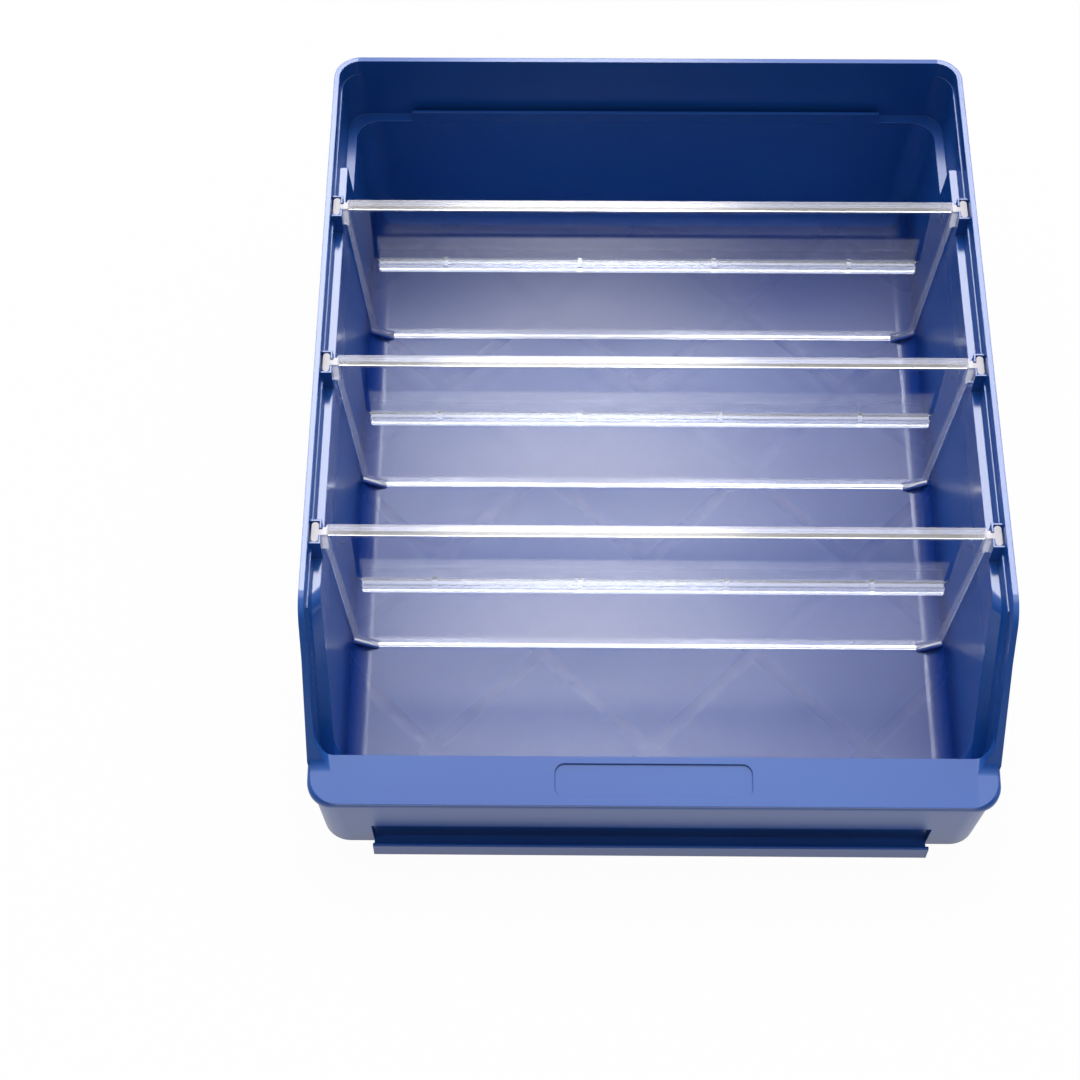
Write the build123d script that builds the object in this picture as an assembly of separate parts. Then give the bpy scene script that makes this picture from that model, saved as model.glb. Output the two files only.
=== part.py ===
from build123d import *
import math
import os

# Parts sorting tray: one injection-moulded open-fronted bin with three clear cross
# dividers that drop into T slots in the side walls.
# Millimetres, +Z up, origin at the middle of the base, +Y towards the rear wall.

os.makedirs("parts", exist_ok=True)

# ---- driving dimensions: tray -------------------------------------------------------
tray_length = 289.0          # rear rim to the lip of the lower label channel
tray_width = 240.0           # over the rim
tray_height = 95.0           # base to rim
wall = 2.2                   # general wall thickness
rim_width = 2.0              # flat top of the rim
rim_corner_r = 10.0          # rear corners of the rim, outside
floor_top = 7.5              # inside floor above the base
floor_skin = 2.2             # floor thickness
cove_r = 7.0                 # radius between floor and walls
outer_cove_growth = 1.6      # how much larger that radius is outside
inner_corner_r = 9.0         # upright inside corners

upper_draft = 0.055          # slope of the rear wall's upper band, mm per mm
side_draft = 0.03            # slope of the side walls' upper band, inside
lower_draft = 0.0715         # slope of the lower walls
outer_draft = 0.0295         # slope of the outside of the front box section

ledge_top = 81.5             # ledge in the side walls that carries the slot boxes
ledge_step = 3.44            # width of that ledge
ledge_rear_set = 43.0        # where the side ledge starts, from the rear
ledge_past_slot = 15.5       # where it turns down, in front of the front slot
ledge_turn_r = 10.0          # radius of that turn
ledge_sweep = 9.2            # how much later it falls beside the upper wall
ledge_sweep_r = 8.0
ledge_lap = 0.5              # the ledge's cutting shape reaches past both walls
rear_ledge_top = 66.5        # lower ledge round the rear corners
rear_ledge_step = 3.7        # its width on the rear wall
band_low = 20.0              # the upper band's cutting shape starts here
rear_panel_set = 28.5        # raised middle panel of the rear wall, from the sides
rear_panel_rise = 4.5
rear_panel_thick = 1.2
rim_step = 0.5               # shallow step in the side walls, inside, that follows the rim
rim_band = 6.5               # this far below it
upper_front_r = 6.0          # upright front corners of the upper band, inside

kink_past_ledge = 15.7       # the rim turns down here, in front of the ledge's turn
slope_deg = 57.4             # slope of the front part of the rim
kink_r = 12.0
kink_low_r = 5.0             # where the rim runs into the lip
front_ledge_deg = 47.3       # slope of the ledge below that part of the rim

lip_set = 1.6                # front edge of the lip, behind the label channel's lip
lip_width = 17.7             # front lip, front edge to rear edge
lip_inner_z = 43.0
lip_outer_z = 41.0
lip_side_set = 0.5           # lip and sloping rims, from the rim's full width
lip_edge = 3.0               # height of the lip's edge over the skirt
lip_round = 2.2
lip_flat_set = 7.4           # the lip is flat to its rear edge between the side rims
lip_flank_rise = 8.5         # height of the curved foot of the side rims
lip_flank_r = 5.0
lip_flank_drop = 1.0         # it starts this far below the lip's rear edge
lip_corner_r = 9.0
front_inner_draft = 0.10     # slope of the inside of the front wall
skirt_set = 5.3              # front of the skirt at the base, behind that lip
hollow_reach = 13.2          # hollow under the lip, behind the lip's rear edge
hollow_corner_clear = 3.2    # more wall where the ledge meets the front wall
hollow_side_clear = 0.6
skirt_draft = 0.088

plate_half = 34.0            # bare recess in the lip
plate_depth = 0.7
plate_margin = 2.8
plate_shift = 0.3
plate_corner_r = 3.4

channel_end_set = 21.5       # lower label channel on the skirt, from the sides
channel_lip = 1.3            # thickness of its front lip
channel_lip_top = 7.8
channel_lip_round = 0.5
channel_floor = 1.6
window_top = 17.0            # shallow window behind the channel
window_depth = 1.6
window_blend = 5.0           # the window leans forward from this far below its top
window_lean = 0.4

slot_count = 3
rear_slot_set = 69.2         # rear slot from the rear of the tray
front_slot_set = 80.4        # front slot from its front
slot_box_length = 9.5        # C-shaped slot box along the wall
slot_box_wall = 0.7
slot_box_lead = 0.1          # slot box in front of the lower wall's face
slot_box_top = 91.6
slot_gap = 2.6               # opening of the C towards the inside
foot_side_set = 5.9          # stacking foot under the floor, from the inside of the walls
foot_wall = 2.0
foot_front_set = 9.2         # foot behind the lip's rear edge
foot_rear_set = 7.0          # foot in front of the rear wall
foot_corner_r = 6.0
pad_r = 8.0                  # round pad at the moulding gate
gusset_front = 1.9           # gusset in front of the slot's middle
gusset_length = 4.1
rib_spacing = 39.3           # half the diagonal of the ribs' diamond pattern
rib_reach = 3                # bars each side of the middle
rib_centre_y = -27.4
rib_width = 1.4
rib_bottom = 1.2

# ---- driving dimensions: dividers ---------------------------------------------------
seat_gap = 0.3               # divider above the floor and beside the gussets
head_clear = 0.2             # T head in its slot, each side
plate_thick = 2.2
rail_top = 91.2
rail_thick = 1.5             # height of the top rail
rail_rear = 2.0              # rail behind the rear face
rail_end_set = 1.2           # it ends this far from the plate's edge
rail_corner_r = 0.9
edge_rib = 1.8               # width of the ribs down the sides
edge_rib_rear = 0.8          # and their height over the rear face
foot_rear = 2.6              # bottom rib behind the rear face
side_gap = 0.8               # divider to side wall
box_gap = 0.4                # divider plate to slot box
head_drop = 0.4              # T head above the ledge
head_round = 1.2
web_reach = 6.0              # web between the T head and the plate
bevel_width = 8.6            # bevelled lower corners
bevel_height = 4.9
head_width = 2.5             # T head across the tray
label_end_set = 11.8         # label channel on the divider, from the slot box
label_reach = 4.3            # from the front face to the front of its lip
label_lip = 1.3
label_lip_top = 61.9
label_floor_top = 59.7
label_floor_thick = 1.4
label_end_r = 1.0
peg_count = 4                # small ribs across the label channel
peg_pitch = 51.2
peg_width = 1.7
peg_set = 0.2                # rib behind the lip's front face
peg_drop = 0.5               # and below its top
mark_set = 5.0               # shallow round marks that run up under the rail
mark_drop = 3.8              # their middle below the rail's top
mark_r = 2.9
mark_depth = 0.25
window_side_set = 9.8        # shallow window above the label channel
window_recess = 0.4
window_corner_r = 2.0

# ---- derived values -----------------------------------------------------------------
rear_y = tray_length / 2
front_y = -tray_length / 2
rim_half = tray_width / 2
rear_panel_half = rim_half - rear_panel_set
lip_half = rim_half - lip_side_set
lip_flat_half = rim_half - lip_flat_set
channel_half = rim_half - channel_end_set
slot_pitch = (tray_length - rear_slot_set - front_slot_set) / (slot_count - 1)
slots = [rear_y - rear_slot_set - slot_pitch * i for i in range(slot_count)]
ledge_rear_y = rear_y - ledge_rear_set
ledge_front_y = slots[-1] - ledge_past_slot
kink_y = ledge_front_y - kink_past_ledge
lip_outer_y = front_y + lip_set
lip_inner_y = lip_outer_y + lip_width
skirt_front_y = front_y + skirt_set
slope = math.tan(math.radians(slope_deg))
front_ledge_slope = math.tan(math.radians(front_ledge_deg))
lip_fall = (lip_inner_z - lip_outer_z) / lip_width
tall = tray_height + 5       # cutting shapes reach above the rim
far = tray_length            # and well past the tray on every side


def upper_half(z):
    """Half width of the upper band's inside at height z."""
    return rim_half - rim_width - (tray_height - z) * side_draft


def upper_rear(z):
    """Inside of the rear wall's upper band at height z."""
    return rear_y - rim_width - (tray_height - z) * upper_draft


def lower_half(z):
    """Half width of the lower walls' inside at height z."""
    return upper_half(ledge_top) - ledge_step - (ledge_top - z) * lower_draft


def lower_rear(z):
    """Inside of the lower rear wall at height z."""
    return upper_rear(rear_ledge_top) - rear_ledge_step - (rear_ledge_top - z) * lower_draft


def front_inner(z):
    """Inside of the front wall at height z."""
    return lip_inner_y - (z - lip_inner_z) * front_inner_draft


def lip_top(y):
    """Height of the lip's top at y."""
    return lip_inner_z + (y - lip_inner_y) * lip_fall


def skirt_half_at(z):
    return rim_half - (tray_height - z) * outer_draft


def skirt_front(z):
    return skirt_front_y - z * skirt_draft


def outer_rear(z):
    return rear_y - (tray_height - z) * upper_draft


def across(points, half):
    """Prism across the tray from points in the Y-Z plane."""
    face = Plane.YZ * make_face(Polyline(*points, close=True).edges())
    return extrude(face, amount=half, both=True)


def along(points, half):
    """Prism along the tray from points in the X-Z plane."""
    face = Plane.XZ * make_face(Polyline(*points, close=True).edges())
    return extrude(face, amount=half, both=True)


def tub(z0, z1, half, front, rear, radius, grow=0.0, front_radius=None):
    """Drafted block between two heights, from functions of z, grown sideways."""
    x0, x1 = half(z0) + grow, half(z1) + grow
    ends = [(front(z0) - grow, z0), (rear(z0) + grow, z0)]
    ends += [(rear(z1) + grow, z1), (front(z1) - grow, z1)]
    body = along([(-x0, z0), (x0, z0), (x1, z1), (-x1, z1)], far) & across(ends, far)
    upright = [e for e in body.edges() if e.bounding_box().size.Z > 1]
    at_rear = [e for e in upright if e.center().Y > 0]
    at_front = [e for e in upright if e.center().Y < 0]
    body = fillet(at_rear, radius + grow)
    at_front = [e for e in body.edges() if any(e.center() == f.center() for f in at_front)]
    return fillet(at_front, (front_radius or radius) + grow)


def plate(z, front, rear, half, radius, height):
    """Upright plate with rounded corners, standing at height z."""
    shape = Pos(0, (front + rear) / 2) * RectangleRounded(2 * half, rear - front, radius)
    return extrude(Plane.XY.offset(z) * shape, amount=height)


def block(x0, x1, y0, y1, z0, z1):
    mid = ((x0 + x1) / 2, (y0 + y1) / 2, (z0 + z1) / 2)
    return Pos(*mid) * Box(x1 - x0, y1 - y0, z1 - z0)


slot_box_x = lower_half(ledge_top) - slot_box_lead
foot_half = lower_half(floor_top) - foot_side_set
label_half = slot_box_x - label_end_set
mark_center = slot_box_x - mark_set
window_half = slot_box_x - window_side_set


# ---- tray: outside ------------------------------------------------------------------
def lower_form(grow):
    """Lower cavity's shape, grown by a share of the wall and floor thickness."""
    z0 = floor_top - grow * floor_skin
    body = tub(z0, tall, lower_half, front_inner, lower_rear, inner_corner_r, grow * wall)
    low = body.edges().group_by(Axis.Z)[0]
    return fillet(low, cove_r + grow * outer_cove_growth)


def lower_outside():
    """Lower walls and floor, one wall thickness outside the lower cavity."""
    body = lower_form(1)
    top = [(-far, ledge_top), (ledge_rear_y, ledge_top)]
    top += [(ledge_rear_y, rear_ledge_top), (far, rear_ledge_top), (far, far), (-far, far)]
    return body - across(top, far)


def upper_outside():
    """Band under the rim, one wall outside the upper cavity, and the front box section."""
    body = tub(0, tray_height, skirt_half_at, skirt_front, outer_rear, rim_corner_r)
    under = ledge_top - wall
    turn = ledge_front_y + wall
    run = (under - lip_inner_z) / front_ledge_slope
    keep = [(far, rear_ledge_top - wall), (ledge_rear_y - wall, rear_ledge_top - wall)]
    keep += [(ledge_rear_y - wall, under), (turn, under), (turn - run, lip_inner_z)]
    keep += [(turn - run, -1), (-far, -1), (-far, far), (far, far)]
    return body & across(keep, far)


def front_lip():
    """Flat front lip with a rounded edge, and the sloping side rims that run into it."""
    z0 = lip_outer_z - lip_edge
    rear = lip_inner_y + lip_corner_r
    body = plate(z0, lip_outer_y, rear, lip_half, lip_corner_r, lip_inner_z + lip_edge - z0)
    top = [(y, lip_top(y)) for y in (-far, 0)]
    body = body - across(top + [(0, far), (-far, far)], far)
    rim = body.faces().sort_by(Axis.Z)[-1].edges()
    rim = [e for e in rim if e.center().Y < lip_inner_y + lip_round]
    body = fillet(rim, lip_round)
    # the side rims keep the lip's width and edge height all the way up the slope
    drop = lip_edge / math.cos(math.radians(slope_deg))
    top_y = kink_y + (drop - lip_edge) / slope
    low_y = kink_y - (tray_height - drop - z0) / slope
    line = [(kink_y + kink_r, tray_height - lip_edge), (top_y, tray_height - lip_edge)]
    line += [(low_y, z0), (low_y, tray_height), (kink_y + kink_r, tray_height)]
    return body + across(line, lip_half)


def above_rim():
    """All that lies above the sloping rim and the front lip."""
    slope_z = tray_height - (kink_y - lip_inner_y) * slope
    reach = (slope_z - lip_inner_z) / (slope - lip_fall)
    meet_y = lip_inner_y - reach
    wire = FilletPolyline(
        (0, tray_height), (kink_y, tray_height), (meet_y, lip_top(meet_y)),
        (-far, lip_top(-far)), radius=[kink_r, kink_low_r],
    )
    rest = Polyline((-far, lip_top(-far)), (-far, far), (0, far), (0, tray_height))
    face = Plane.YZ * make_face(wire.edges() + rest.edges())
    over = extrude(face, amount=far, both=True)
    # between the side rims the lip stays flat to its rear edge
    rear = lip_inner_y + upper_front_r
    flat = across([(-far, lip_top(-far)), (rear, lip_top(rear)), (rear, far), (-far, far)], far)
    low_z = lip_inner_z - lip_flank_drop
    high_z = low_z + lip_flank_rise
    inner = upper_half(high_z)
    curve = FilletPolyline((-inner, high_z), (-lip_flat_half, low_z), (lip_flat_half, low_z),
                           (inner, high_z), radius=lip_flank_r)
    top = Polyline((inner, high_z), (inner, far), (-inner, far), (-inner, high_z))
    between = extrude(Plane.XZ * make_face(curve.edges() + top.edges()), amount=far, both=True)
    return over + (flat & between)


# ---- tray: inside -------------------------------------------------------------------
def ledge_face(x, corner_y, radius, fall):
    """Side view of the space above the ledge, standing at x; it turns down at corner_y."""
    end_z = ledge_top - (corner_y - front_y) * fall
    turn = FilletPolyline((ledge_rear_y, ledge_top), (corner_y, ledge_top), (front_y, end_z),
                          radius=radius)
    rest = Polyline((front_y, end_z), (front_y, far), (far, far), (far, rear_ledge_top),
                    (ledge_rear_y, rear_ledge_top), (ledge_rear_y, ledge_top))
    return Plane.YZ.offset(x) * make_face(turn.edges() + rest.edges())


def upper_cavity():
    """Band above the ledges. Its floor is the ledge, which sweeps down at the front."""
    def half_below(z):
        return upper_half(z) - rim_step

    ends = [front_inner, upper_rear, rim_corner_r - rim_width]
    body = tub(band_low, tall, half_below, *ends, front_radius=upper_front_r)
    # the band below the rim is wider, and follows the rim down its slope
    step_z = tray_height - rim_band
    turn = kink_y + rim_band * math.tan(math.radians(slope_deg / 2))
    line = [(far, step_z), (turn, step_z), (front_y, step_z - (turn - front_y) * slope)]
    band = tub(band_low, tall, upper_half, *ends, front_radius=upper_front_r)
    body = body + (band & across(line + [(front_y, far), (far, far)], far))
    x0 = lower_half(lip_inner_z) - ledge_lap
    x1 = upper_half(tray_height) + ledge_lap
    inner = (ledge_front_y, ledge_turn_r, front_ledge_slope)
    outer = (ledge_front_y - ledge_sweep, ledge_sweep_r, slope)
    side = loft([ledge_face(x0, *inner), ledge_face(x1, *outer)], ruled=True)
    middle = extrude(ledge_face(0, *inner), amount=x0, both=True)
    body = body & (middle + side + mirror(side, Plane.YZ))
    # a thin upright panel stands in the middle of the rear ledge
    panel = block(-rear_panel_half, rear_panel_half, ledge_rear_y, far,
                  rear_ledge_top - 1, rear_ledge_top + rear_panel_rise)
    lower = [band_low, tall, lower_half, front_inner, lower_rear, wall]
    return body - ((panel & tub(*lower, grow=rear_panel_thick)) - tub(*lower))


def front_hollow():
    """Space under the lip, open below, between front wall and skirt."""
    def half(z):
        return skirt_half_at(z) - wall - hollow_side_clear

    def front(z):
        return skirt_front(z) + wall

    def rear(z):
        return rear_y

    def ledge_under(y):
        return ledge_top - 2 * wall - (ledge_front_y - y) * front_ledge_slope

    body = tub(-1, lip_outer_z - lip_edge, half, front, rear, wall)
    rear_end = lip_inner_y + hollow_reach
    foot = lip_inner_y - wall
    line = [(rear_end, -5), (rear_end, ledge_under(rear_end))]
    line += [(foot, ledge_under(foot) - hollow_corner_clear), (foot - wall, far)]
    line += [(-far, far), (-far, -5)]
    body = body & across(line, far)
    window = block(-channel_half - wall, channel_half + wall, -far,
                   skirt_front_y + window_depth + wall, -2, window_top + wall)
    return body - lower_outside() - window


# ---- tray: details ------------------------------------------------------------------
def slot_boxes(body):
    """C-shaped boxes on the side ledge that hold the dividers' T heads."""
    cut_x = upper_half(slot_box_top)
    outer_x = upper_half(tray_height) + rim_width / 2
    half_y = slot_box_length / 2
    inner_y = half_y - slot_box_wall
    over = slot_box_top + 1
    for y in slots:
        box = block(slot_box_x, outer_x, y - half_y, y + half_y, ledge_top - 1, slot_box_top)
        cut = block(slot_box_x + slot_box_wall, cut_x, y - inner_y, y + inner_y, ledge_top, over)
        slit = block(slot_box_x - 1, slot_box_x + slot_box_wall + 1, y - slot_gap / 2,
                     y + slot_gap / 2, ledge_top, over)
        body = body + box + mirror(box, Plane.YZ)
        cut = cut + slit
        body = body - cut - mirror(cut, Plane.YZ)
    return body


def bevel_points(offset):
    """Bevelled lower corner of a divider, moved out by an offset."""
    edge_x = lower_half(floor_top + seat_gap + bevel_height) - side_gap
    low = floor_top + seat_gap
    return [(edge_x - bevel_width, low - offset), (edge_x, low + bevel_height - offset)]


def gussets(body):
    """Small gussets in the cove that the dividers' bevelled corners rest over."""
    (x0, z0), (x1, z1) = bevel_points(seat_gap)
    run = (z1 - z0) / (x1 - x0)
    past = 3.0
    points = [(x0 - past, z0 - past * run), (x1 + past, z1 + past * run)]
    points += [(x1 + past, 0), (x0 - past, 0)]
    limit = lower_form(0.5)
    rib = along(points, gusset_length / 2)
    for y in slots:
        rib_y = y - gusset_front + gusset_length / 2
        placed = (Pos(0, rib_y, 0) * rib) & limit
        body = body + placed + mirror(placed, Plane.YZ)
    return body


def under_floor():
    """Stacking foot, diamond ribs and the round gate pad under the floor."""
    top = floor_top - floor_skin / 2
    front = lip_inner_y + foot_front_set
    rear = lower_rear(floor_top) - foot_rear_set
    ring = plate(0, front, rear, foot_half, foot_corner_r, top)
    ring -= plate(0, front + foot_wall, rear - foot_wall, foot_half - foot_wall,
                  foot_corner_r - foot_wall, top)
    inside = plate(rib_bottom, front + 1, rear - 1, foot_half - 1, foot_corner_r - 1, top)
    out = ring + Cylinder(pad_r, top, align=(Align.CENTER, Align.CENTER, Align.MIN))
    for k in range(-rib_reach, rib_reach + 1):
        for turn in (45, -45):
            middle = Pos(2 * k * rib_spacing, rib_centre_y, (rib_bottom + top) / 2)
            bar = middle * Rot(0, 0, turn) * Box(2 * far, rib_width, top - rib_bottom)
            out = out + (bar & inside)
    return out


def label_channel(body):
    """Label channel across the foot of the skirt, with a shallow window behind it."""
    rear = skirt_front_y + window_depth
    shelf = block(-channel_half, channel_half, front_y, rear + wall / 2, 0, channel_floor)
    lip = block(-channel_half, channel_half, front_y, front_y + channel_lip, 0, channel_lip_top)
    lip = fillet(lip.edges().filter_by(Axis.X).group_by(Axis.Z)[-1], channel_lip_round)
    points = [(-far, channel_floor), (rear, channel_floor)]
    points += [(rear - window_lean, window_top - window_blend)]
    points += [(skirt_front(window_top), window_top), (-far, window_top)]
    return body - across(points, channel_half) + shelf + lip


def lip_plate(body):
    """Bare recess in the top of the lip."""
    mid_y = (lip_inner_y + lip_outer_y) / 2 + plate_shift
    tilt = math.degrees(math.atan(lip_fall))
    cut = RectangleRounded(2 * plate_half, lip_width - 2 * plate_margin, plate_corner_r)
    cut = extrude(cut, amount=wall + plate_depth)
    place = Pos(0, mid_y, lip_top(mid_y)) * Rot(tilt, 0, 0) * Pos(0, 0, -plate_depth)
    return body - place * cut


def make_tray():
    outside = lower_outside() + upper_outside() + front_lip()
    outside = outside - above_rim()
    body = outside - lower_form(0) - upper_cavity()
    body = body - front_hollow()
    body = body + under_floor()
    body = gussets(body)
    body = slot_boxes(body)
    body = label_channel(body)
    body = lip_plate(body)
    return body


# ---- dividers -----------------------------------------------------------------------
def divider_outline(inset):
    """Outline of the plate in X-Z, drawn in by an inset."""
    low = floor_top + seat_gap
    edge_low = lower_half(low + bevel_height) - side_gap
    edge_top = min(lower_half(rail_top) - side_gap, slot_box_x - box_gap)
    turn = math.atan2(bevel_height, bevel_width)
    shift = inset * math.tan(turn / 2)
    half = [
        (edge_low - bevel_width - shift, low + inset),
        (edge_low - inset, low + bevel_height + shift),
        (edge_top - inset, rail_top - inset),
    ]
    return half + [(-x, z) for x, z in reversed(half)]


def plate_solid(y0, y1, inset=0.0):
    """The divider's outline between two depths."""
    return Pos(0, (y0 + y1) / 2, 0) * along(divider_outline(inset), (y1 - y0) / 2)


def corner_mark():
    """Shallow round mark in the front face, on the right-hand side."""
    middle = Pos(mark_center, -plate_thick / 2, rail_top - mark_drop)
    return middle * Rot(90, 0, 0) * Cylinder(mark_r, 2 * mark_depth)


def t_head():
    """T head and its web at the right-hand end of the top rail."""
    z0 = ledge_top + head_drop
    head_half = slot_box_length / 2 - slot_box_wall - head_clear
    x0 = slot_box_x + slot_box_wall + head_clear
    head = block(x0, x0 + head_width, -head_half, head_half, z0, rail_top)
    head = fillet(head.edges().filter_by(Axis.Z), head_round)
    return head + block(x0 - web_reach, x0 + head_width / 4, -plate_thick / 2, plate_thick / 2,
                        z0, rail_top)


def label_strip(low, high, front, rear):
    """Strip along the label channel with rounded front corners."""
    strip = block(-label_half, label_half, front, rear, low, high)
    return fillet(strip.edges().filter_by(Axis.Z).group_by(Axis.Y)[0], label_end_r)


def make_divider():
    """Clear divider standing at y = 0."""
    front = -plate_thick / 2
    rear = plate_thick / 2
    into = plate_thick / 4
    body = plate_solid(front, rear)
    # shallow window above the label channel, and the round marks beside it
    rail_low = rail_top - rail_thick
    window = block(-window_half, window_half, front - 1, front + window_recess,
                   label_floor_top, rail_low)
    body -= fillet(window.edges().filter_by(Axis.Y).group_by(Axis.Z)[0], window_corner_r)
    mark = corner_mark()
    body -= mark + mirror(mark, Plane.YZ)
    # ribs round the edge of the rear face, deepest along the rail and the foot
    ring = plate_solid(rear - into, rear + edge_rib_rear)
    ring -= plate_solid(rear - into, rear + foot_rear, edge_rib)
    foot = plate_solid(rear - into, rear + foot_rear)
    foot = foot & block(-far, far, -far, far, 0, floor_top + seat_gap + rail_thick)
    half = divider_outline(0)[2][0] - rail_end_set
    rail = block(-half, half, front, rear + rail_rear, rail_low, rail_top)
    rail = fillet(rail.edges().filter_by(Axis.Z).group_by(Axis.Y)[-1], rail_corner_r)
    body = body + ring + foot + rail
    # label channel
    lip_y = front - label_reach
    low = label_floor_top - label_floor_thick
    body += label_strip(low, label_floor_top, lip_y, front + into)
    body += label_strip(low, label_lip_top, lip_y, lip_y + label_lip)
    for i in range(peg_count):
        x = (i - (peg_count - 1) / 2) * peg_pitch
        body += block(x - peg_width / 2, x + peg_width / 2, lip_y + peg_set, front + into,
                      low, label_lip_top - peg_drop)
    head = t_head()
    return body + head + mirror(head, Plane.YZ)


# ---- build --------------------------------------------------------------------------
tray = make_tray()
divider = make_divider()
print("tray volume", round(tray.volume), "solids", len(tray.solids()), "valid", tray.is_valid)
print("divider volume", round(divider.volume), "solids", len(divider.solids()))
box = tray.bounding_box()
print("tray box", box.min, box.max)
export_step(tray, "parts/tray_body.step")
names = ["rear_divider", "middle_divider", "front_divider"]
for name, y in zip(names, slots):
    export_step(Pos(0, y, 0) * divider, "parts/" + name + ".step")
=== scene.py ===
import math
import bpy
from mathutils import Euler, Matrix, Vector

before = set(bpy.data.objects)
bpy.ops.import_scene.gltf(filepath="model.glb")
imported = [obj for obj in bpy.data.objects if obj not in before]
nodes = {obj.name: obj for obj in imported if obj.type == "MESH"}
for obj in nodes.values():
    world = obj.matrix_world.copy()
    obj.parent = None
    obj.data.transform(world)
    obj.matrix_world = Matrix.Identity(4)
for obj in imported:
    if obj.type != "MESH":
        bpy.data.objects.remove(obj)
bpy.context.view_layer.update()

# ---- tray: one injection moulding in polypropylene -----------------------------------
# The bin's walls, stepped rim, ledges, slot boxes, lip and ribbed underside come out of
# the mould as one piece. The floor has a fine spark-eroded grain, the ledges and the rim
# are polished, and the ribs under the floor draw faint sink lines into its top.


def linear(hex_code):
    """An sRGB hex colour as linear RGBA."""
    out = []
    for i in (0, 2, 4):
        c = int(hex_code[i:i + 2], 16) / 255
        out.append(c / 12.92 if c <= 0.04045 else ((c + 0.055) / 1.055) ** 2.4)
    return (*out, 1.0)


def add(tree, kind, settings=None, inputs=None, links=None):
    """Adds a node with its settings, its unlinked inputs and the sockets that feed it."""
    node = tree.nodes.new(kind)
    for name, value in (settings or {}).items():
        setattr(node, name, value)
    for key, value in (inputs or {}).items():
        node.inputs[key].default_value = value
    for key, socket in (links or {}).items():
        tree.links.new(socket, node.inputs[key])
    return node


def blank(name):
    """A new material with an empty node tree."""
    material = bpy.data.materials.new(name)
    material.use_nodes = True
    material.node_tree.nodes.clear()
    return material, material.node_tree


def band(tree, value, low, high, soft):
    """1 where the value lies between two limits, with soft ends."""
    rise = add(tree, "ShaderNodeMapRange", {"interpolation_type": "SMOOTHSTEP"},
               {"From Min": low - soft, "From Max": low + soft}, {"Value": value})
    fall = add(tree, "ShaderNodeMapRange", {"interpolation_type": "SMOOTHSTEP"},
               {"From Min": high - soft, "From Max": high + soft, "To Min": 1.0, "To Max": 0.0},
               {"Value": value})
    return add(tree, "ShaderNodeMath", {"operation": "MULTIPLY"},
               links={0: rise.outputs[0], 1: fall.outputs[0]}).outputs[0]


tray_blue = "124293"
worn_blue = "1B539F"
# painted shade: the darker blue painted on the floor deep in the tray
shaded_floor_blue = "0D3178"

# Where the inner walls, drawn on down, would meet the table, in metres from the middle,
# and how far they lean out for each metre of height.
inner_half = 0.1094
inner_front = -0.1250
inner_rear = 0.1306
wall_slope = 0.0715
far = 1.0
crisp = 0.0002

# The grain and the painted floor shade fade out between two heights, and the gloss comes up
# towards the rim between two others. Real grain is about 0.1 mm across; it is drawn at 0.4 mm so
# that it shows.
grain_low, grain_high = 0.016, 0.034
satin_low, polish_high = 0.060, 0.080
floor_rough, wall_rough, polished_rough = 0.28, 0.30, 0.16
grain = 0.0004
clouds_per_metre = 14.0

# The ribs under the floor cross at 45 degrees to its sides. A shift by an even number of
# spacings leaves their pattern as it is and keeps what is folded above zero.
rib_spacing = 0.0393
rib_centre_y = -0.0274
even_shift = 40
sink_half = 0.005
sink_gloss = -0.02

# Relief too shallow to model: edges rounded by the mould maker, the grain, the sink lines,
# and ledges that fall inwards from the rim as far as ledge_edge.
edge_radius = 0.0004
relief = 0.0001
grain_strength, sink_strength = 0.10, 0.22
ledge_edge = 0.1112
ledge_fall = 0.12

# Injection-moulded polypropylene: a saturated blue under a soft waxy gloss, satin on the
# grained floor and smoother on the ledges, so the pale surroundings lie on it as haze.
polypropylene, tree = blank("moulded_blue_polypropylene")
place = add(tree, "ShaderNodeTexCoord").outputs["Object"]
axes = add(tree, "ShaderNodeSeparateXYZ", links={0: place})

# how far down in the tray: 1 on the grained floor, 0 on the walls above it and all round
# outside
low = add(tree, "ShaderNodeMapRange", {"interpolation_type": "SMOOTHSTEP"},
          {"From Min": grain_high, "From Max": grain_low}, {"Value": axes.outputs["Z"]})
outward = add(tree, "ShaderNodeMath", {"operation": "ABSOLUTE"}, links={0: axes.outputs["X"]})
sideways, backwards = [
    add(tree, "ShaderNodeMath", {"operation": "MULTIPLY_ADD"}, {1: -wall_slope},
        {0: axes.outputs["Z"], 2: socket}).outputs[0]
    for socket in (outward.outputs[0], axes.outputs["Y"])]
inside = add(tree, "ShaderNodeMath", {"operation": "MULTIPLY"}, links={
    0: band(tree, sideways, -far, inner_half, crisp),
    1: band(tree, backwards, inner_front, inner_rear, crisp)})
depth = add(tree, "ShaderNodeMath", {"operation": "MULTIPLY"},
            links={0: low.outputs[0], 1: inside.outputs[0]})
gloss = add(tree, "ShaderNodeMapRange", {"interpolation_type": "SMOOTHSTEP"},
            {"From Min": satin_low, "From Max": polish_high,
             "To Min": wall_rough, "To Max": polished_rough}, {"Value": axes.outputs["Z"]})

# flow marks: broad, hardly visible clouds where the melt filled the mould; down on the floor
# the blue is painted darker, painted shade for the light that walls and dividers keep off it
clouds = add(tree, "ShaderNodeTexNoise", inputs={"Scale": clouds_per_metre, "Detail": 3.0},
             links={"Vector": place})
tint = add(tree, "ShaderNodeMix", {"data_type": "RGBA"},
           {6: linear(tray_blue), 7: linear(worn_blue)}, {0: clouds.outputs["Fac"]})
painted_floor_shade = add(tree, "ShaderNodeMix", {"data_type": "RGBA"}, {7: linear(shaded_floor_blue)},
           {0: depth.outputs[0], 6: tint.outputs[2]})

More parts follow.
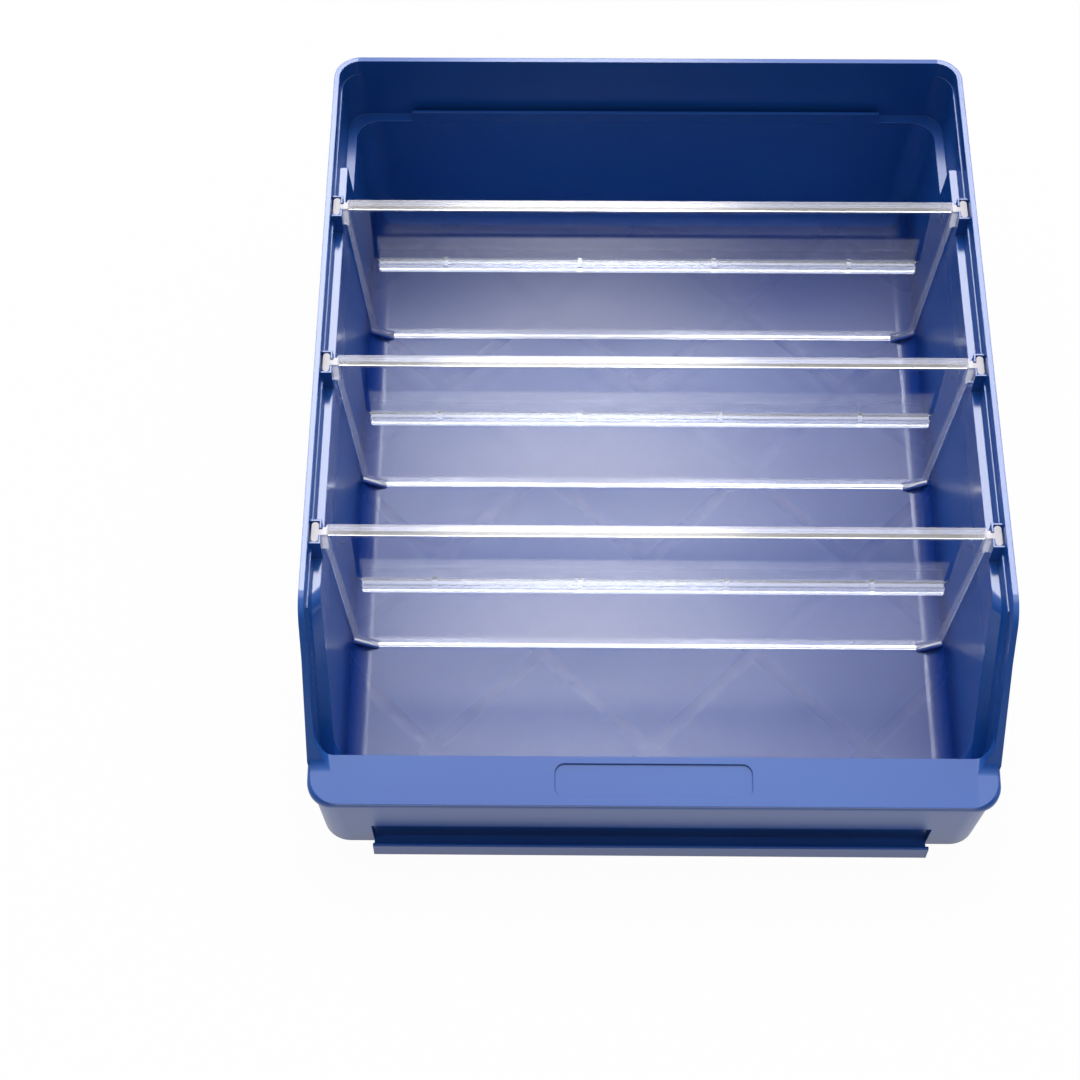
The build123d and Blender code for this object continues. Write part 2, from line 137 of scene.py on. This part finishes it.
# sink lines over the diamond ribs: distance to the nearest of the two families of lines
lines = []
for side in (1, -1):
    along = add(tree, "ShaderNodeMath", {"operation": "MULTIPLY_ADD"}, {1: float(side)},
                {0: axes.outputs["Y"], 2: axes.outputs["X"]})
    shifted = add(tree, "ShaderNodeMath", {"operation": "ADD"},
                  {1: rib_spacing * even_shift - side * rib_centre_y}, {0: along.outputs[0]})
    swing = add(tree, "ShaderNodeMath", {"operation": "PINGPONG"}, {1: rib_spacing},
                {0: shifted.outputs[0]})
    lines.append(swing.outputs[0])
nearest = add(tree, "ShaderNodeMath", {"operation": "MINIMUM"}, links={0: lines[0], 1: lines[1]})
sink = add(tree, "ShaderNodeMapRange", {"interpolation_type": "SMOOTHSTEP"},
           {"From Min": 0.0, "From Max": sink_half, "To Min": 1.0, "To Max": 0.0},
           {"Value": nearest.outputs[0]})
on_floor = add(tree, "ShaderNodeMath", {"operation": "MULTIPLY"},
               links={0: sink.outputs[0], 1: depth.outputs[0]})

rough = add(tree, "ShaderNodeMix", {"data_type": "FLOAT"}, {3: floor_rough},
            {0: depth.outputs[0], 2: gloss.outputs[0]})
smoothed = add(tree, "ShaderNodeMath", {"operation": "MULTIPLY_ADD"}, {1: sink_gloss},
               {0: on_floor.outputs[0], 2: rough.outputs[0]})

# the relief, one layer on the next: edges, grain, sink lines and the fall of the ledges
edges = add(tree, "ShaderNodeBevel", {"samples": 4}, {"Radius": edge_radius})
speckle = add(tree, "ShaderNodeTexNoise", inputs={"Scale": 1 / grain, "Detail": 1.0},
              links={"Vector": place})
bumps = add(tree, "ShaderNodeBump", inputs={"Strength": grain_strength, "Distance": relief},
            links={"Height": speckle.outputs["Fac"], "Normal": edges.outputs[0]})
dip = add(tree, "ShaderNodeBump", {"invert": True},
          {"Strength": sink_strength, "Distance": relief},
          {"Height": on_floor.outputs[0], "Normal": bumps.outputs[0]})
past = add(tree, "ShaderNodeMath", {"operation": "MAXIMUM"}, {1: ledge_edge},
           {0: outward.outputs[0]})
fall = add(tree, "ShaderNodeBump", inputs={"Strength": 1.0, "Distance": ledge_fall},
           links={"Height": past.outputs[0], "Normal": dip.outputs[0]})
shader = add(tree, "ShaderNodeBsdfPrincipled", inputs={"IOR": 1.49},
             links={"Base Color": painted_floor_shade.outputs[2], "Roughness": smoothed.outputs[0],
                    "Normal": fall.outputs[0]})
add(tree, "ShaderNodeOutputMaterial", links={"Surface": shader.outputs[0]})


def wear_material(node, material):
    """Gives a carried-over node one material."""
    mesh = nodes[node].data
    mesh.materials.clear()
    mesh.materials.append(material)


wear_material("tray_body", polypropylene)

# ---- dividers: three alike, injection moulded in clear polystyrene --------------------
# Each is one plate with a ribbed edge, a label channel and two T heads that drop into
# the tray's slots. The window above the channel is polished in the mould; the rest of
# the plate has a fine matt finish, and the rails and heads look frosted.

# Where the parts of a divider lie, in metres from its middle and up from the table. The
# plate's half width is taken at the height plate_half_at, as its sides lean with the walls.
window_half = 0.1042
window_low, window_high = 0.0597, 0.0897
channel_half = 0.1024
channel_low, channel_high = 0.0562, 0.0600
# top of the painted reflection of the label channel
reflection_high = 0.0733
plate_high, plate_low = 0.062, 0.010
plate_half, plate_half_at = 0.1140, 0.0815
edge_rib = 0.0026
head_inner = 0.1122
head_low = 0.0812
over_top, past_side = 0.1, 0.2
blurred = 0.0003

# How milky each part is, from 0 to 1. The rail and the plate are painted milkier a little to
# the left of the middle, a painted highlight where the light falls on them brightest.
plate_haze_high, plate_haze_low = 0.05, 0.15
channel_haze = 0.30
reflection_haze = 0.08
rail_haze = 0.15
edge_haze = 0.11
head_haze = 0.50
highlight_x = -0.025
highlight_reach = 0.09
highlight_most, highlight_least = 1.6, 0.5
polished, matt_rough, matt_haze = 0.02, 0.30, 0.30

# Clear polystyrene: water-clear in the window, a thin whitish haze on the matt plate, painted
# milkier a little left of the middle as painted highlight, and milky where it is thick: the
# rail, the ribs, the heads and the channel.
polystyrene, tree = blank("clear_polystyrene")
place = add(tree, "ShaderNodeTexCoord").outputs["Object"]
axes = add(tree, "ShaderNodeSeparateXYZ", links={0: place})

window = add(tree, "ShaderNodeMath", {"operation": "MULTIPLY"}, links={
    0: band(tree, axes.outputs["X"], -window_half, window_half, crisp),
    1: band(tree, axes.outputs["Z"], window_low, window_high, crisp)})
lower = add(tree, "ShaderNodeMapRange", inputs={
    "From Min": plate_high, "From Max": plate_low,
    "To Min": plate_haze_high, "To Max": plate_haze_low}, links={"Value": axes.outputs["Z"]})
off_middle = add(tree, "ShaderNodeMath", {"operation": "ABSOLUTE"}, links={0: axes.outputs["X"]})
from_highlight = add(tree, "ShaderNodeMath", {"operation": "SUBTRACT"}, {1: highlight_x},
                {0: axes.outputs["X"]})
from_highlight = add(tree, "ShaderNodeMath", {"operation": "ABSOLUTE"}, links={0: from_highlight.outputs[0]})
# painted highlight: milkier a little left of the middle, less to either side
painted_highlight = add(tree, "ShaderNodeMapRange", {"interpolation_type": "SMOOTHSTEP"},
              {"From Min": 0.0, "From Max": highlight_reach,
               "To Min": highlight_most, "To Max": highlight_least},
              {"Value": from_highlight.outputs[0]})
highlighted_plate_haze = add(tree, "ShaderNodeMath", {"operation": "MULTIPLY"},
              links={0: lower.outputs[0], 1: painted_highlight.outputs[0]})
beside = band(tree, axes.outputs["X"], -channel_half, channel_half, crisp)
strip = add(tree, "ShaderNodeMath", {"operation": "MULTIPLY"}, links={
    0: band(tree, axes.outputs["Z"], channel_low, channel_high, blurred), 1: beside})
matt = add(tree, "ShaderNodeMix", {"data_type": "FLOAT"}, {3: channel_haze},
           {0: strip.outputs[0], 2: highlighted_plate_haze.outputs[0]})
top = band(tree, axes.outputs["Z"], window_high, over_top, crisp)
# the rail's milky white top is partly its frosted finish and partly painted highlight, the
# softbox's reflection on it
highlighted_rail_haze = add(tree, "ShaderNodeMath", {"operation": "MULTIPLY"}, {1: rail_haze},
             {0: painted_highlight.outputs[0]})
thick = add(tree, "ShaderNodeMix", {"data_type": "FLOAT"},
            links={0: top, 2: matt.outputs[0], 3: highlighted_rail_haze.outputs[0]})

# the ribbed side edges, frosted: distance outwards, less what the sides lean in below
lean = add(tree, "ShaderNodeMath", {"operation": "MULTIPLY_ADD"}, {1: -wall_slope},
           {0: axes.outputs["Z"], 2: off_middle.outputs[0]})
rib_inner = plate_half - plate_half_at * wall_slope - edge_rib
edge = band(tree, lean.outputs[0], rib_inner, past_side, blurred)
ends = band(tree, off_middle.outputs[0], window_half, past_side, blurred)
ends = add(tree, "ShaderNodeMath", {"operation": "MULTIPLY"}, links={0: ends, 1: top})
frost = add(tree, "ShaderNodeMath", {"operation": "MAXIMUM"}, links={0: edge, 1: ends.outputs[0]})
frosted = add(tree, "ShaderNodeMix", {"data_type": "FLOAT"}, {3: edge_haze},
              {0: frost.outputs[0], 2: thick.outputs[0]})
heads = add(tree, "ShaderNodeMath", {"operation": "MULTIPLY"}, links={
    0: band(tree, off_middle.outputs[0], head_inner, past_side, crisp),
    1: band(tree, axes.outputs["Z"], head_low, over_top, crisp)})
solid = add(tree, "ShaderNodeMix", {"data_type": "FLOAT"}, {3: head_haze},
            {0: heads.outputs[0], 2: frosted.outputs[0]})

# painted reflection: the label channel's reflection in the polished window is painted as a pale
# band just above it
channel_reflection = add(tree, "ShaderNodeMath", {"operation": "MULTIPLY"}, links={
    0: band(tree, axes.outputs["Z"], window_low, reflection_high, blurred), 1: beside})
pale = add(tree, "ShaderNodeMath", {"operation": "MULTIPLY"}, {1: reflection_haze},
           {0: painted_highlight.outputs[0]})
channel_reflection = add(tree, "ShaderNodeMath", {"operation": "MULTIPLY"},
            links={0: channel_reflection.outputs[0], 1: pale.outputs[0]})
haze = add(tree, "ShaderNodeMix", {"data_type": "FLOAT"},
           links={0: window.outputs[0], 2: solid.outputs[0], 3: channel_reflection.outputs[0]})
rough = add(tree, "ShaderNodeMapRange", inputs={
    "From Max": matt_haze, "To Min": polished, "To Max": matt_rough},
    links={"Value": haze.outputs[0]})

# the polished share bends the light, the milky share lets it through softly in the plate
# and throws it back in the rail, and shadows stay pale
clear = add(tree, "ShaderNodeBsdfPrincipled", inputs={
    "Base Color": linear("FBFCFF"), "IOR": 1.59, "Transmission Weight": 1.0},
    links={"Roughness": rough.outputs[0]})
through = add(tree, "ShaderNodeBsdfTranslucent", inputs={"Color": linear("F4F2F6")})
frost_face = add(tree, "ShaderNodeBsdfDiffuse", inputs={"Color": linear("F4EFF2")})
milky = add(tree, "ShaderNodeMixShader",
            links={0: top, 1: through.outputs[0], 2: frost_face.outputs[0]})
body = add(tree, "ShaderNodeMixShader",
           links={0: haze.outputs[0], 1: clear.outputs[0], 2: milky.outputs[0]})
passing = add(tree, "ShaderNodeBsdfTransparent", inputs={"Color": linear("E6EAF2")})
path = add(tree, "ShaderNodeLightPath")
mix = add(tree, "ShaderNodeMixShader",
          links={0: path.outputs["Is Shadow Ray"], 1: body.outputs[0], 2: passing.outputs[0]})
add(tree, "ShaderNodeOutputMaterial", links={"Surface": mix.outputs[0]})
for name in ("rear_divider", "middle_divider", "front_divider"):
    wear_material(name, polystyrene)

# ---- studio: white sweep, soft light and the camera -----------------------------------
# White paper under and round the tray, a tall softbox behind and above it whose
# reflection lies on the floor and the ledges, and pale surroundings.
half = 3.0
below_tray = 0.0005
paper_glow = 0.97
floor_mesh = bpy.data.meshes.new("floor")
floor_mesh.from_pydata([(-half, -half, 0), (half, -half, 0), (half, half, 0), (-half, half, 0)],
                       [], [(0, 1, 2, 3)])
floor = bpy.data.objects.new("floor", floor_mesh)
bpy.context.collection.objects.link(floor)
floor.location.z = -below_tray

# White seamless paper: plain white to the lens and in reflections, with a soft shadow.
white_paper, tree = blank("white_paper_sweep")
paper = add(tree, "ShaderNodeBsdfDiffuse", inputs={"Color": linear("C8C8CC")})
glow = add(tree, "ShaderNodeEmission", inputs={"Color": linear("FFFFFF"), "Strength": 1.0})
path = add(tree, "ShaderNodeLightPath")
seen = add(tree, "ShaderNodeMath", {"operation": "MAXIMUM"},
           links={0: path.outputs["Is Camera Ray"], 1: path.outputs["Is Glossy Ray"]})
seen = add(tree, "ShaderNodeMath", {"operation": "MAXIMUM"},
           links={0: seen.outputs[0], 1: path.outputs["Is Transmission Ray"]})
share = add(tree, "ShaderNodeMath", {"operation": "MULTIPLY"}, {1: paper_glow},
            {0: seen.outputs[0]})
mix = add(tree, "ShaderNodeMixShader",
          links={0: share.outputs[0], 1: paper.outputs[0], 2: glow.outputs[0]})
add(tree, "ShaderNodeOutputMaterial", links={"Surface": mix.outputs[0]})
floor.data.materials.append(white_paper)

# Pale surroundings, brightest in a halo above and behind the tray, and plain white
# where the lens sees them.
brightest_way = (0.0, 0.45, 0.89)
world = bpy.data.worlds.new("studio")
bpy.context.scene.world = world
world.use_nodes = True
tree = world.node_tree
tree.nodes.clear()
path = add(tree, "ShaderNodeLightPath")
upward = add(tree, "ShaderNodeVectorMath", {"operation": "DOT_PRODUCT"},
             {1: brightest_way}, {0: add(tree, "ShaderNodeTexCoord").outputs["Generated"]})
level = add(tree, "ShaderNodeMapRange", {"interpolation_type": "SMOOTHSTEP"},
            {"From Min": 0.0, "From Max": 0.9, "To Min": 0.2, "To Max": 1.1},
            {"Value": upward.outputs["Value"]})
halo = add(tree, "ShaderNodeMapRange", {"interpolation_type": "SMOOTHSTEP"},
           {"From Min": 0.85, "From Max": 1.0, "To Max": 3.6},
           {"Value": upward.outputs["Value"]})
level = add(tree, "ShaderNodeMath", {"operation": "ADD"},
            links={0: level.outputs[0], 1: halo.outputs[0]})
dim = add(tree, "ShaderNodeBackground", inputs={"Color": linear("FFFFFF")},
          links={"Strength": level.outputs[0]})
plain = add(tree, "ShaderNodeBackground", inputs={"Color": linear("FFFFFF"), "Strength": 1.0})
mix = add(tree, "ShaderNodeMixShader",
          links={0: path.outputs["Is Camera Ray"], 1: dim.outputs[0], 2: plain.outputs[0]})
add(tree, "ShaderNodeOutputWorld", links={"Surface": mix.outputs[0]})

# The softbox: one tall rectangle of light, turned to the middle of the tray.
lamp = bpy.data.lights.new("rear_softbox", "AREA")
lamp.shape = "RECTANGLE"
lamp.size, lamp.size_y = 0.26, 0.74
lamp.energy = 7.9
softbox = bpy.data.objects.new("rear_softbox", lamp)
bpy.context.collection.objects.link(softbox)
softbox.location = (0.0, 0.88, 1.43)
aim = Vector((0, 0, 0.05)) - softbox.location
softbox.rotation_euler = aim.to_track_quat("-Z", "Y").to_euler()

camera_data = bpy.data.cameras.new("camera")
camera_data.lens = 75.32
camera_data.sensor_width = 36.0
camera = bpy.data.objects.new("camera", camera_data)
bpy.context.collection.objects.link(camera)
camera.location = (-0.03332, -0.44739, 0.75760)
camera.rotation_euler = Euler([math.radians(a) for a in (29.736, 0.242, 0.507)])
bpy.context.scene.camera = camera
bpy.context.scene.view_settings.view_transform = "Standard"
